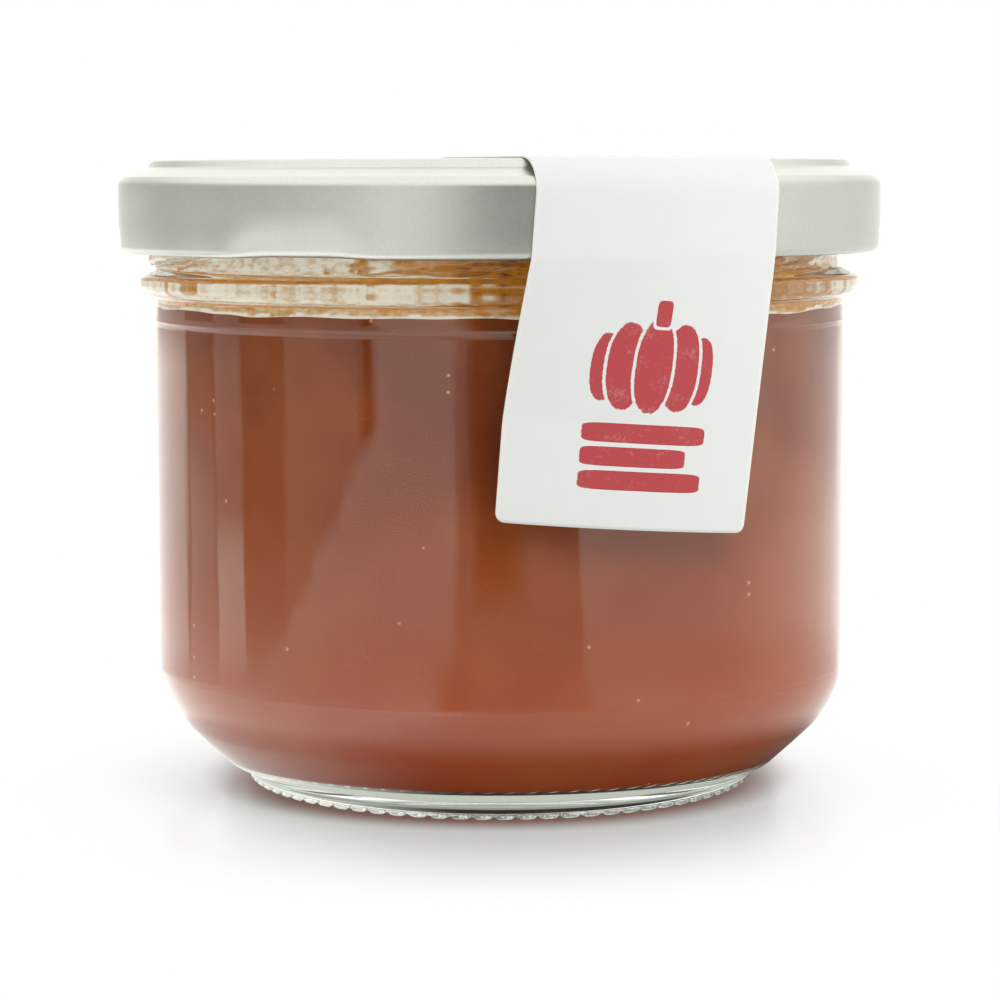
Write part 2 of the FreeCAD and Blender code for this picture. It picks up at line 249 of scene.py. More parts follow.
class Net:
    """Short ways to add and join nodes in one node tree."""

    def __init__(self, tree: bpy.types.NodeTree) -> None:
        """Keeps the tree that the nodes go into."""
        self.tree = tree

    def node(self, kind: str, inputs: dict | None = None, **settings: object) -> bpy.types.Node:
        """Adds a node.

        Args:
            kind: The node's type name.
            inputs: Values or output sockets by input name or index.
            **settings: The node's own properties.

        Returns:
            The new node.
        """
        made = self.tree.nodes.new(kind)
        for name, value in settings.items():
            setattr(made, name, value)
        for name, value in (inputs or {}).items():
            if isinstance(value, Socket):
                self.tree.links.new(value, made.inputs[name])
            else:
                made.inputs[name].default_value = value
        return made

    def math(self, operation: str, first: object, second: object = 0.0) -> Socket:
        """Adds a Math node and returns its output."""
        return self.node("ShaderNodeMath", {0: first, 1: second}, operation=operation).outputs[0]

    def times(self, first: object, second: object) -> Socket:
        """Product of two values."""
        return self.math("MULTIPLY", first, second)

    def plus(self, first: object, second: object) -> Socket:
        """Sum of two values."""
        return self.math("ADD", first, second)

    def most(self, first: object, second: object) -> Socket:
        """Larger of two values."""
        return self.math("MAXIMUM", first, second)

    def parts(self, value: object) -> bpy.types.bpy_prop_collection:
        """The three parts of a vector."""
        return self.node("ShaderNodeSeparateXYZ", {0: value}).outputs

    def length(self, value: object) -> Socket:
        """Length of a vector."""
        return self.node("ShaderNodeVectorMath", {0: value}, operation="LENGTH").outputs["Value"]

    def between(self, factor: object, first: object, second: object) -> Socket:
        """Mixes two values and returns the result."""
        return self.node("ShaderNodeMix", {0: factor, 2: first, 3: second}, data_type="FLOAT").outputs[0]

    def shader_mix(self, factor: object, first: bpy.types.Node, second: bpy.types.Node) -> bpy.types.Node:
        """Mixes two shaders."""
        return self.node("ShaderNodeMixShader", {0: factor, 1: first.outputs[0], 2: second.outputs[0]})

    def emission(self, colour: Colour, strength: object = 1.0) -> bpy.types.Node:
        """Adds a shader that gives off light."""
        return self.node("ShaderNodeEmission", {"Color": colour, "Strength": strength})

    def surface(self, shader: bpy.types.Node, kind: str = "ShaderNodeOutputMaterial") -> None:
        """Joins a shader to a new output node."""
        self.node(kind, {"Surface": shader.outputs[0]})

    def blend(self, factor: object, first: object, second: object, kind: str = "MIX") -> Socket:
        """Mixes two colours and returns the result."""
        made = self.node("ShaderNodeMix", {0: factor, 6: first, 7: second}, data_type="RGBA", blend_type=kind)
        return made.outputs[2]

    def spread(self, value: object, low: float, high: float, to_low: float = 0.0, to_high: float = 1.0,
               kind: str = "SMOOTHSTEP") -> Socket:
        """Maps low to high onto to_low to to_high, with an even S unless kind says otherwise."""
        limits = {0: value, 1: low, 2: high, 3: to_low, 4: to_high}
        return self.node("ShaderNodeMapRange", limits, interpolation_type=kind).outputs[0]

    def over_mm(self, length: object, limits: Span, to_low: float = 0.0, to_high: float = 1.0) -> Socket:
        """Maps a length between two limits in millimetres onto to_low to to_high, with an even S."""
        return self.spread(length, limits[0] * MM, limits[1] * MM, to_low, to_high)

    def noise(self, place: object, scale: object, detail: float = 3.0, rough: float = 0.5,
              twist: float = 0.0) -> Socket:
        """Adds a noise texture and returns its value, from 0 to 1."""
        made = self.node("ShaderNodeTexNoise", {
            "Vector": place, "Scale": scale, "Detail": detail, "Roughness": rough, "Distortion": twist,
        })
        return made.outputs["Fac"]

    def bump(self, height: object, strength: float, distance_mm: float) -> Socket:
        """Adds a Bump node and returns its normal."""
        inputs = {"Height": height, "Strength": strength, "Distance": distance_mm * MM}
        return self.node("ShaderNodeBump", inputs).outputs[0]

    def object_place(self, stretch: tuple[float, float, float] = (1.0, 1.0, 1.0),
                     turn: tuple[float, float, float] = (0.0, 0.0, 0.0)) -> Socket:
        """Object coordinates through a Mapping node, stretched and turned in degrees."""
        coordinates = self.node("ShaderNodeTexCoord").outputs["Object"]
        angles = tuple(math.radians(a) for a in turn)
        made = self.node("ShaderNodeMapping", {"Vector": coordinates, "Rotation": angles, "Scale": stretch})
        return made.outputs[0]


def new_material(name: str) -> tuple[bpy.types.Material, Net]:
    """Makes an empty node material.

    Args:
        name: The material's name.

    Returns:
        The material and its node tree.
    """
    material = bpy.data.materials.new(name)
    material.use_nodes = True
    material.node_tree.nodes.clear()
    return material, Net(material.node_tree)


class Effect(Enum):
    """The node groups that more than one finish uses."""

    PULP = "fruit_pulp"
    GRAIN = "fine_grain"


def new_group(effect: Effect, inputs: Iterable[tuple[str, str, object]], outputs: Iterable[tuple[str, str]]
              ) -> tuple[Net, bpy.types.Node, bpy.types.Node]:
    """Makes an empty shader node group with named sockets.

    Args:
        effect: Which group it is.
        inputs: Name, socket type and default of each input.
        outputs: Name and socket type of each output.

    Returns:
        The group's net, its input node and its output node.
    """
    tree = bpy.data.node_groups.new(effect.value, "ShaderNodeTree")
    for name, kind, value in inputs:
        socket = tree.interface.new_socket(name, in_out="INPUT", socket_type=kind)
        if value is not None:
            socket.default_value = value
    for name, kind in outputs:
        tree.interface.new_socket(name, in_out="OUTPUT", socket_type=kind)
    net = Net(tree)
    return net, net.node("NodeGroupInput"), net.node("NodeGroupOutput")


def make_pulp_group() -> None:
    """Builds the group for fruit pulp: soft clouds of tint, pale fibres, small flecks and a height."""
    net, given, result = new_group(
        Effect.PULP,
        [("Place", "NodeSocketVector", None), ("Cloud Scale", "NodeSocketFloat", 60.0),
         ("Fibre Scale", "NodeSocketFloat", 420.0), ("Fleck Scale", "NodeSocketFloat", 800.0)],
        [("Cloud", "NodeSocketFloat"), ("Fibre", "NodeSocketFloat"), ("Fleck", "NodeSocketFloat"),
         ("Height", "NodeSocketFloat")],
    )
    place, cloud_scale, fibre_scale, fleck_scale = (given.outputs[i] for i in range(4))
    soft = net.noise(place, cloud_scale, 4.0, 0.55)
    cloud = net.spread(soft, 0.32, 0.70)
    fibre = net.spread(net.noise(place, fibre_scale, 2.0, 0.6, 1.2), 0.60, 0.78)
    cells = net.node("ShaderNodeTexVoronoi", {"Vector": place, "Scale": fleck_scale, "Randomness": 1.0})
    rare = net.node("ShaderNodeSeparateColor", {0: cells.outputs["Color"]})
    near = net.spread(cells.outputs["Distance"], 0.08, 0.22, 1.0, 0.0)
    chosen = net.math("GREATER_THAN", rare.outputs[0], 0.955)
    fleck = net.times(near, chosen)
    height = net.plus(net.times(fibre, 0.5), net.times(soft, 0.8))
    for i, value in enumerate((cloud, fibre, fleck, height)):
        net.tree.links.new(value, result.inputs[i])


def make_grain_group() -> None:
    """Builds the group for a fine surface grain: a value of fine noise and mottle, and its height."""
    net, given, result = new_group(
        Effect.GRAIN,
        [("Place", "NodeSocketVector", None), ("Fine Scale", "NodeSocketFloat", 2500.0),
         ("Mottle Scale", "NodeSocketFloat", 180.0), ("Mottle Share", "NodeSocketFloat", 0.5)],
        [("Value", "NodeSocketFloat"), ("Height", "NodeSocketFloat")],
    )
    place, fine_scale, mottle_scale, share = (given.outputs[i] for i in range(4))
    fine = net.noise(place, fine_scale, 3.0, 0.65)
    value = net.between(share, fine, net.noise(place, mottle_scale, 3.0, 0.5))
    for i, found in enumerate((value, fine)):
        net.tree.links.new(found, result.inputs[i])


def place_group(net: Net, effect: Effect, inputs: dict) -> bpy.types.Node:
    """Adds one of the shared groups to a material and returns its node."""
    return net.node("ShaderNodeGroup", inputs, node_tree=bpy.data.node_groups[effect.value])


# ---- finishes ------------------------------------------------------------------------------------


@dataclass(frozen=True)
class ClearGlass:
    """Blown soda glass, faintly uneven, that lets lamps and scattered light straight through, and gives off
    painted light deep in reflections.
    """

    name: str = "jar_glass"
    tint: Colour = (0.975, 0.99, 0.98, 1.0)
    ior: float = 1.5
    through: Colour = (0.955, 0.965, 0.955, 1.0)
    wave: float = 0.05
    wave_mm: float = 0.4
    # painted light: colour and strength of the light that the glass gives off deep in reflections, standing
    # in for light its foot carries along
    painted_guided_light: Colour = (0.80, 0.83, 0.78, 1.0)
    painted_guided_level: float = 0.5

    def build(self) -> bpy.types.Material:
        """Makes the material."""
        material, net = new_material(self.name)
        place = net.object_place()
        slow = net.noise(place, 55.0, 2.0, 0.4)
        fine = net.noise(place, 260.0, 2.0, 0.5)
        height = net.plus(slow, net.times(fine, 0.12))
        normal = net.bump(height, self.wave, self.wave_mm)
        haze = net.spread(net.noise(place, 700.0, 4.0, 0.7), 0.62, 0.85, 0.0, 0.05)
        path = net.node("ShaderNodeLightPath")
        # Painted light: after more than two glossy bounces the glass gives off light of its own, standing in
        # for light that the thick foot carries along.
        inside = net.math("GREATER_THAN", path.outputs["Glossy Depth"], 2.5)
        glass = net.node("ShaderNodeBsdfPrincipled", {
            "Base Color": self.tint, "Metallic": 0.0, "Roughness": haze, "IOR": self.ior,
            "Transmission Weight": 1.0, "Normal": normal,
            "Emission Color": self.painted_guided_light, "Emission Strength": net.times(inside, self.painted_guided_level),
        })
        clear = net.node("ShaderNodeBsdfTransparent", {"Color": self.through})
        passed = net.most(path.outputs["Is Shadow Ray"], path.outputs["Is Diffuse Ray"])
        mixed = net.shader_mix(passed, glass, clear)
        net.surface(mixed)
        return material


@dataclass(frozen=True)
class PumpkinJam:
    """Cooked pumpkin jam: brown-orange, with paler fibres and small flecks; darker and browner towards the
    top, partly from browning and partly as painted shade of the cap, and lighter towards the bottom as
    painted light from the floor.

    Painted reflection: where it lies on thick glass, at its base, its heel and at flat angles, a reflective
    shader mixed into its finish stands in for light that comes along the glass at a very flat angle.
    """

    name: str = "pumpkin_jam"
    # top: darker and browner, partly browning and partly painted shade under the cap
    top: Colour = (0.190, 0.036, 0.006, 1.0)
    deep: Colour = (0.285, 0.049, 0.008, 1.0)
    # low: lighter, painted light from the floor near the bottom
    low: Colour = (0.41, 0.066, 0.011, 1.0)
    pale: Colour = (0.450, 0.130, 0.030, 1.0)
    # painted: a grey that only diffuse rays see, so the light that the jam throws onto the floor stays
    # neutral
    painted_bounce_grey: Colour = (0.150, 0.135, 0.125, 1.0)
    fleck: Colour = (0.80, 0.42, 0.20, 1.0)
    # painted reflection: colour of the reflective shader that stands in for light carried along the glass
    # foot
    painted_guide_mirror: Colour = (0.88, 0.89, 0.86, 1.0)
    scatter_mm: float = 2.2
    painted_top_shade_mm: Span = (22.0, 50.0)
    painted_low_light_mm: Span = (10.0, 30.0)
    cloud_share: float = 0.40
    fibre_share: float = 0.16
    fleck_share: float = 0.7
    painted_bounce_share: float = 0.7
    flat_facing: Span = (0.50, 0.55)
    base_facing: Span = (0.10, 0.16)
    base_mm: Span = (4.5, 4.8)
    heel_mm: Span = (8.0, 11.0)

    def build(self) -> bpy.types.Material:
        """Makes the material."""
        material, net = new_material(self.name)
        place = net.object_place()
        height = net.parts(place)[2]
        pulp = place_group(net, Effect.PULP, {
            "Place": place, "Cloud Scale": 58.0, "Fibre Scale": 430.0, "Fleck Scale": 780.0,
        })
        drift = net.times(net.math("SUBTRACT", net.noise(place, 34.0, 2.0), 0.5), 0.020)
        level = net.plus(height, drift)
        # Painted shade towards the top, partly browning too, and painted light from the floor towards the
        # bottom.
        body = net.blend(net.over_mm(level, self.painted_top_shade_mm), self.deep, self.top)
        body = net.blend(net.over_mm(level, self.painted_low_light_mm, 1.0, 0.0), body, self.low)
        path = net.node("ShaderNodeLightPath")
        for mask, share, tint in (
            (pulp.outputs["Cloud"], self.cloud_share, self.pale),
            (pulp.outputs["Fibre"], self.fibre_share, self.pale),
            (pulp.outputs["Fleck"], self.fleck_share, self.fleck),
            # painted: diffuse rays see the jam greyer, so the shade it leaves on the floor stays neutral
            (path.outputs["Is Diffuse Ray"], self.painted_bounce_share, self.painted_bounce_grey),
        ):
            body = net.blend(net.times(mask, share), body, tint)
        normal = net.bump(pulp.outputs["Height"], 0.25, 0.12)
        jam = net.node("ShaderNodeBsdfPrincipled", {
            "Base Color": body, "Roughness": 0.32, "IOR": 1.42, "Specular IOR Level": 0.08,
            "Subsurface Weight": 0.6, "Subsurface Radius": (1.0, 0.32, 0.12),
            "Subsurface Scale": self.scatter_mm * MM, "Normal": normal,
        })
        # Painted reflection: at the base, at flat angles, and at the heel for rays already reflected, a
        # reflective shader stands in for light that the glass foot carries along.
        painted_guide_mirror = net.node("ShaderNodeBsdfAnisotropic", {"Color": self.painted_guide_mirror, "Roughness": 0.03})
        facing = net.node("ShaderNodeLayerWeight", {"Blend": 0.5}).outputs["Facing"]
        base = net.over_mm(height, self.base_mm, 1.0, 0.0)
        under = net.times(base, net.spread(facing, *self.base_facing))
        flat = net.most(under, net.spread(facing, *self.flat_facing))
        heel = net.over_mm(height, self.heel_mm, 1.0, 0.0)
        painted_guided_light = net.times(net.math("GREATER_THAN", path.outputs["Glossy Depth"], 0.5), heel)
        flat = net.most(flat, painted_guided_light)
        mixed = net.shader_mix(flat, jam, painted_guide_mirror)
        net.surface(mixed)
        return material


@dataclass(frozen=True)
class JamFilm:
    """Thin dried film on glass: whitish as mere mist, amber where jam has run over it, brown where thick. It
    gives off painted light of its own colour.
    """

    name: str = "jam_film"
    mist: Colour = (0.95, 0.90, 0.78, 1.0)
    tan: Colour = (0.68, 0.49, 0.27, 1.0)
    amber: Colour = (0.62, 0.25, 0.015, 1.0)
    brown: Colour = (0.24, 0.060, 0.006, 1.0)
    # through: strength of the painted light that the film gives off, standing in for light reaching it
    # through the glass
    through: float = 0.19
    mottle: float = 0.30
    tan_from: Span = (0.05, 0.38)
    amber_from: Span = (0.38, 0.64)
    brown_from: Span = (0.74, 1.10)

    def build(self) -> bpy.types.Material:
        """Makes the material."""
        material, net = new_material(self.name)
        place = net.object_place((1.0, 1.0, 1.8))
        pulp = place_group(net, Effect.PULP, {
            "Place": place, "Cloud Scale": 900.0, "Fibre Scale": 1500.0, "Fleck Scale": 900.0,
        })
        thick = net.node("ShaderNodeAttribute", attribute_name="thickness").outputs["Fac"]
        mottle = net.math("SUBTRACT", pulp.outputs["Cloud"], 0.5)
        thick = net.plus(thick, net.times(mottle, self.mottle))
        colour: object = self.mist
        steps = ((self.tan_from, self.tan), (self.amber_from, self.amber), (self.brown_from, self.brown))
        for limits, tint in steps:
            colour = net.blend(net.spread(thick, *limits, kind="LINEAR"), colour, tint)
        normal = net.bump(pulp.outputs["Height"], 0.5, 0.25)
        # Painted light: the film gives off light in its own colour, standing in for light that reaches it
        # through the glass and the neck.
        film = net.node("ShaderNodeBsdfPrincipled", {
            "Base Color": colour, "Roughness": 0.35, "IOR": 1.42, "Specular IOR Level": 0.3, "Normal": normal,
            "Emission Color": colour, "Emission Strength": self.through,
        })
        lit = net.node("ShaderNodeBsdfTranslucent", {"Color": colour, "Normal": normal})
        mixed = net.shader_mix(0.3, film, lit)
        net.surface(mixed)
        return material


@dataclass(frozen=True)
class Tinplate:
    """Satin tinplate under clear lacquer, with a very fine slanting grain."""

    name: str = "cap_tinplate"
    light: Colour = (0.405, 0.408, 0.385, 1.0)
    dark: Colour = (0.375, 0.375, 0.350, 1.0)
    roughness: float = 0.38

    def build(self) -> bpy.types.Material:
        """Makes the material."""
        material, net = new_material(self.name)
        place = net.object_place((1.0, 1.0, 0.8), (24.0, 31.0, 12.0))
        grain = place_group(net, Effect.GRAIN, {
            "Place": place, "Fine Scale": 3600.0, "Mottle Scale": 120.0, "Mottle Share": 0.35,
        })
        tone = net.spread(grain.outputs["Value"], 0.35, 0.65)
        colour = net.blend(tone, self.dark, self.light)
        rough = net.spread(grain.outputs["Value"], 0.3, 0.7, self.roughness - 0.02, self.roughness + 0.02)
        normal = net.bump(grain.outputs["Height"], 0.06, 0.01)
        metal = net.node("ShaderNodeBsdfPrincipled", {
            "Base Color": colour, "Metallic": 1.0, "Roughness": rough, "Normal": normal,
            "Coat Weight": 0.15, "Coat Roughness": 0.3,
        })
        net.surface(metal)
        return material


@dataclass(frozen=True)
class Blot:
    """Shape of a print: middle and half sizes in mm, power from oval (2) to square (8), and its bare rim."""

    x: float
    y: float
    half_w: float
    half_h: float
    power: float = 2.3
    rim: float = 0.0


@dataclass(frozen=True)
class PrintedPaper:
    """White uncoated paper strip with a block-printed sign of a pumpkin over three bars."""

    name: str = "printed_paper"
    paper: Colour = (0.80, 0.81, 0.80, 1.0)
    # painted rim light: lighter, warmer paper along the strip's long edges
    painted_rim_light: Colour = (0.90, 0.88, 0.82, 1.0)
    ink: Colour = (0.47, 0.062, 0.070, 1.0)
    middle_mm: Span = (0.7, 26.5)
    half_width: float = 13.9
    # painted rim light: where it starts and ends, in from the strip's edge, in mm
    painted_rim_mm: Span = (0.45, 0.1)
    blots: tuple[Blot, ...] = (
        Blot(-5.15, -2.6, 1.55, 3.5), Blot(5.15, -2.6, 1.55, 3.5),
        Blot(-3.0, -2.8, 2.0, 4.5, rim=0.34), Blot(3.0, -2.8, 2.0, 4.5, rim=0.34),
        Blot(0.0, -2.9, 2.0, 4.9, rim=0.34), Blot(0.3, -8.3, 0.85, 1.35, 5.0, rim=0.3),
        Blot(0.0, 4.15, 6.7, 1.0, 7.0), Blot(-1.0, 6.6, 5.7, 1.0, 7.0), Blot(0.0, 9.05, 6.7, 1.0, 7.0),
    )

    def inside(self, net: Net, place: object, blot: Blot, grown: float, edge: object) -> Socket:
        """Mask of one shape of the print.

        Args:
            net: The material's node tree.
            place: The place on the strip in millimetres, from the print's middle.
            blot: The shape.
            grown: How much its half sizes are enlarged.
            edge: Value that frays the outline.

        Returns:
            1 inside and 0 outside.
        """
        shift = {"Vector": place, "Location": (-blot.x, -blot.y, 0.0)}
        moved = net.node("ShaderNodeMapping", shift).outputs[0]
        sizes = (1.0 / (blot.half_w + grown), 1.0 / (blot.half_h + grown), 0.0)
        scaled = net.node("ShaderNodeVectorMath", {0: moved, 1: sizes}, operation="MULTIPLY").outputs[0]
        parts = net.parts(scaled)
        side = net.math("POWER", net.math("ABSOLUTE", parts[0]), blot.power)
        rise = net.math("POWER", net.math("ABSOLUTE", parts[1]), blot.power)
        reach = net.plus(net.plus(side, rise), edge)
        return net.spread(reach, 0.96, 1.04, 1.0, 0.0)

    def print_mask(self, net: Net, place: object, edge: object) -> Socket:
        """Mask of the whole print: each shape over the earlier ones, with its bare rim round it.

        Args:
            net: The material's node tree.
            place: The place on the strip in millimetres, from the print's middle, down along the strip.
            edge: Value that frays the outlines.

        Returns:
            1 on ink and 0 on paper.
        """
        mask: object = 0.0
        for blot in self.blots:
            if blot.rim > 0.0:
                bare = net.math("SUBTRACT", 1.0, self.inside(net, place, blot, blot.rim, edge))
                mask = net.times(mask, bare)
            mask = net.most(mask, self.inside(net, place, blot, 0.0, edge))
        return mask

    def build(self) -> bpy.types.Material:
        """Makes the material."""
        material, net = new_material(self.name)
        place = net.node("ShaderNodeUVMap", uv_map="strip_mm").outputs[0]
        centred = net.node("ShaderNodeMapping", {
            "Vector": place, "Location": (-self.middle_mm[0], -self.middle_mm[1], 0.0),
        }).outputs[0]
        grain = place_group(net, Effect.GRAIN, {
            "Place": net.object_place(), "Fine Scale": 3000.0, "Mottle Scale": 420.0, "Mottle Share": 0.5,
        })
        edge = net.spread(grain.outputs["Value"], 0.3, 0.7, -0.08, 0.08, "LINEAR")
        mask = self.print_mask(net, centred, edge)
        worn = net.spread(grain.outputs["Value"], 0.52, 0.74, 1.0, 0.80)
        ink = net.times(mask, worn)
        tone = net.spread(grain.outputs["Value"], 0.3, 0.7, 0.975, 1.0, "LINEAR")
        sheet = net.blend(1.0, self.paper, tone, "MULTIPLY")
        # Painted rim light: the paper turns lighter and warmer along the strip's long edges.
        across = net.math("ABSOLUTE", net.parts(place)[0])
        side = net.spread(across, self.half_width - self.painted_rim_mm[0], self.half_width - self.painted_rim_mm[1])
        sheet = net.blend(side, sheet, self.painted_rim_light)
        colour = net.blend(ink, sheet, self.ink)
        normal = net.bump(grain.outputs["Height"], 0.25, 0.03)
        paper = net.node("ShaderNodeBsdfPrincipled", {
            "Base Color": colour, "Roughness": 0.62, "IOR": 1.45, "Specular IOR Level": 0.35,
            "Normal": normal,
        })
        net.surface(paper)
        return material


# ---- glass jar -----------------------------------------------------------------------------------


@dataclass
class GlassJar(TurnedPiece):
    """Low jar with a slanted heel, a knurled foot, a shoulder ring and a threaded neck."""

    piece: ClassVar[str] = "glass_jar"
    slot: ClassVar[str] = "clear_glass"
    node: ClassVar[str] = "jar"
    steps: int = 608
    body_r: float = 39.17
    wall: float = 2.75
    heel_deg: float = 47.0
    heel_corner_z: float = 9.5
    heel_r: float = 9.0
    heel_end_z: float = 2.4
    foot_r: float = 29.1
    rib_h: float = 0.36
    rib_count: int = 76
    rib_arc_r: float = 1.55
    rib_flat: float = 0.05
    rib_half_w: float = 0.95
    rib_slant_deg: float = 24.0
    rib_in_r: float = 26.3
    rib_out_r: float = 28.9
    rib_middle_r: float = 27.775
    push_up: float = 1.35
    push_up_flat_r: float = 12.0
    floor_in_z: float = 4.5
    seam_z: float = 52.4
    seam_h: float = 0.13
    ring_r: float = 41.0
    ring_z: Span = (55.2, 57.5)
    neck_r: float = 38.8
    neck_z: float = 58.2
    neck_in_r: float = 36.0
    rim_r: float = 38.55
    rim_z: float = 69.9
    thread_r: float = 40.2
    thread_start_deg: float = -84.0
    thread_span_deg: float = 56.0
    thread_z: float = 57.75
    thread_rise: float = 3.5
    thread_root_w: float = 2.3
    thread_top_w: float = 1.0
    thread_taper_deg: float = 9.0
    starts: int = 6

    def heel_radius(self, inset: float, z: float) -> float:
        """Radius of the heel's slant at a height, moved inwards through the glass."""
        slant = math.radians(self.heel_deg)
        return self.body_r - inset / math.cos(slant) - (self.heel_corner_z - z) * math.tan(slant)

    def heel_height(self, inset: float, radius: float) -> float:
        """Height at which the slant, moved inwards, meets a vertical wall of this radius."""
        slant = math.radians(self.heel_deg)
        return self.heel_corner_z - (self.body_r - inset / math.cos(slant) - radius) / math.tan(slant)

    def hollow(self, gap: float, floor_gap: float) -> list[Corner]:
        """Corners of the hollow from the middle of its floor to its wall, moved inwards by the gaps."""
        inset = self.wall + gap
        wall_r = self.body_r - inset
        floor_z = self.floor_in_z + floor_gap
        return [
            Corner(0.0, floor_z),
            Corner(self.heel_radius(inset, floor_z), floor_z, 3.0, 6),
            Corner(wall_r, self.heel_height(inset, wall_r), self.heel_r - self.wall, 8),
        ]

    def outline(self) -> list[Corner]:
        """Corners of the glass from the middle of its underside, up outside and down inside."""
        outside = [
            Corner(0.0, self.rib_h + self.push_up),
            Corner(self.push_up_flat_r, self.rib_h + self.push_up, 60.0, 6),
            Corner(self.rib_in_r, self.rib_h, 0.0),
            Corner(self.rib_in_r + 0.05, 0.0, 0.25),
            Corner(self.rib_out_r, 0.0, 0.28),
            Corner(self.rib_out_r, self.rib_h + 0.12, 0.15),
            Corner(self.foot_r, self.heel_end_z - 0.25, 0.4),
            Corner(self.heel_radius(0.0, self.heel_end_z), self.heel_end_z, 0.8),
            Corner(self.body_r, self.heel_corner_z, self.heel_r, 18),
            Corner(self.body_r, self.heel_corner_z + self.heel_r * 0.5),
            Corner(self.body_r, self.heel_corner_z + self.heel_r * 0.66),
            Corner(self.body_r, self.seam_z - 0.7),
            Corner(self.body_r, self.seam_z - 0.18),
            Corner(self.body_r + self.seam_h, self.seam_z, 0.06),
            Corner(self.body_r, self.seam_z + 0.18),
            Corner(self.body_r, self.seam_z + 0.7),
            Corner(self.body_r, self.ring_z[0] - 0.9),
            Corner(self.body_r, self.ring_z[0] - 0.1, 0.35, 4),
            Corner(self.ring_r, self.ring_z[0], 1.1, 6),
            Corner(self.ring_r, self.ring_z[1], 0.9, 6),
            Corner(self.neck_r, self.neck_z, 0.5),
            Corner(self.neck_r, self.rim_z - 3.35, 0.4),
            Corner(self.rim_r, self.rim_z - 2.95, 0.3),
            Corner(self.rim_r, self.rim_z, 0.9, 5),
            Corner(self.neck_in_r, self.rim_z, 0.9, 5),
            Corner(self.neck_in_r, self.neck_z + 1.0, 4.0, 6),
            Corner(self.body_r - self.wall, self.ring_z[0], 4.0, 6),
        ]
        return outside + list(reversed(self.hollow(0.0, 0.0)))

    def longest(self, place: Vector) -> float:
        """Longest edge of the section near a place: short at the foot's ribs and at the threads."""
        r, z = abs(place.x) / MM, place.z / MM
        if z < 0.9 and r > self.rib_in_r - 0.2:
            return 0.42
        if self.neck_z - 1.2 < z < self.neck_z + 5.4 and r > self.neck_r - 0.3:
            return 0.42
        return 9.0

    def rib_underside(self, azimuth: float, radius: float) -> float:
        """Height of the knurled ring's underside at a place."""
        slant = math.radians(self.rib_slant_deg)
        drift = math.degrees(math.atan((radius - self.rib_middle_r) * math.tan(slant) / radius))
        pitch = 360.0 / self.rib_count
        turn = (azimuth - drift + pitch / 2.0) % pitch - pitch / 2.0
        aside = math.radians(turn) * radius * math.cos(slant)
        if abs(aside) >= self.rib_half_w:
            return self.rib_h
        arc = self.rib_arc_r - math.sqrt(self.rib_arc_r ** 2 - aside ** 2) - self.rib_flat
        return min(self.rib_h, max(0.0, arc))

    def thread_share(self, azimuth: float, z: float) -> float:
        """How far a thread stands out at a place of the neck, from 0 to 1."""
        flank = (self.thread_root_w - self.thread_top_w) / 2.0
        share = 0.0
        for start in range(self.starts):
            turn = (azimuth - self.thread_start_deg - start * 360.0 / self.starts) % 360.0
            if turn > self.thread_span_deg:
                continue
            to_end = min(turn, self.thread_span_deg - turn) / self.thread_taper_deg
            up = z - self.thread_z - self.thread_rise * turn / self.thread_span_deg
            rise = min(up / (flank * 0.8), (self.thread_root_w - up) / flank)
            share = max(share, smooth_step(to_end) * smooth_step(rise))
        return share

    def shape(self, place: Vector) -> None:
        """Moves one point of the turned mesh to give the ribs and threads.

        Args:
            place: The point, changed in place.
        """
        r, z = math.hypot(place.x, place.y) / MM, place.z / MM
        azimuth = azimuth_of(place)
        if z < self.rib_h + 0.02 and self.rib_in_r - 0.02 < r < self.rib_out_r + 0.02:
            place.z = max(z, self.rib_underside(azimuth, r)) * MM
        elif self.neck_z - 1.2 < z < self.neck_z + 6.0 and self.neck_r - 0.2 < r:
            crest = self.neck_r + (self.thread_r - self.neck_r) * self.thread_share(azimuth, z)
            if crest > r:
                set_radius(place, crest * MM)


# ---- jam -----------------------------------------------------------------------------------------


@dataclass
class JamFill(TurnedPiece):
    """Jam up to its level, reaching just into the glass, with a faintly uneven surface."""

    piece: ClassVar[str] = "jam_fill"
    slot: ClassVar[str] = "jam"
    node: ClassVar[str] = "jam"
    jar: GlassJar
    steps: int = 256
    top_z: float = 53.7
    into_glass: float = 0.15
    edge_h: float = 0.1
    unevenness: float = 0.32
    fade_mm: float = 1.6
    seed: float = 3.7

    def outline(self) -> list[Corner]:
        """Corners from the middle of the underside, up the wall and in over the surface."""
        wall_r = self.jar.body_r - self.jar.wall + self.into_glass
        surface = [
            Corner(wall_r, self.top_z + self.edge_h, 0.15),
            Corner(wall_r - 0.7, self.top_z + self.edge_h, 0.4),
            Corner(wall_r - 2.4, self.top_z, 1.5),
            Corner(0.0, self.top_z),
        ]
        return self.jar.hollow(-self.into_glass, -self.into_glass) + surface

    def longest(self, place: Vector) -> float:
        """Longest edge of the section: short on the surface and at its rim."""
        z = place.z / MM
        return 1.1 if z > self.top_z - 1.5 else 3.5

    def lift(self, place: Vector) -> float:
        """How far the uneven surface lies above its mean level at a place, in millimetres."""
        flat = Vector((place.x, place.y, self.top_z * MM))
        return self.unevenness * (roughly(flat, 14.0, self.seed) + 0.6 * roughly(flat, 4.5, self.seed + 5.0))

    def shape(self, place: Vector) -> None:
        """Moves a point near the surface up or down with its unevenness."""
        near_top = smooth_step((place.z / MM - self.top_z + self.fade_mm) / self.fade_mm)
        if near_top > 0.0:
            place.z += near_top * self.lift(place) * MM


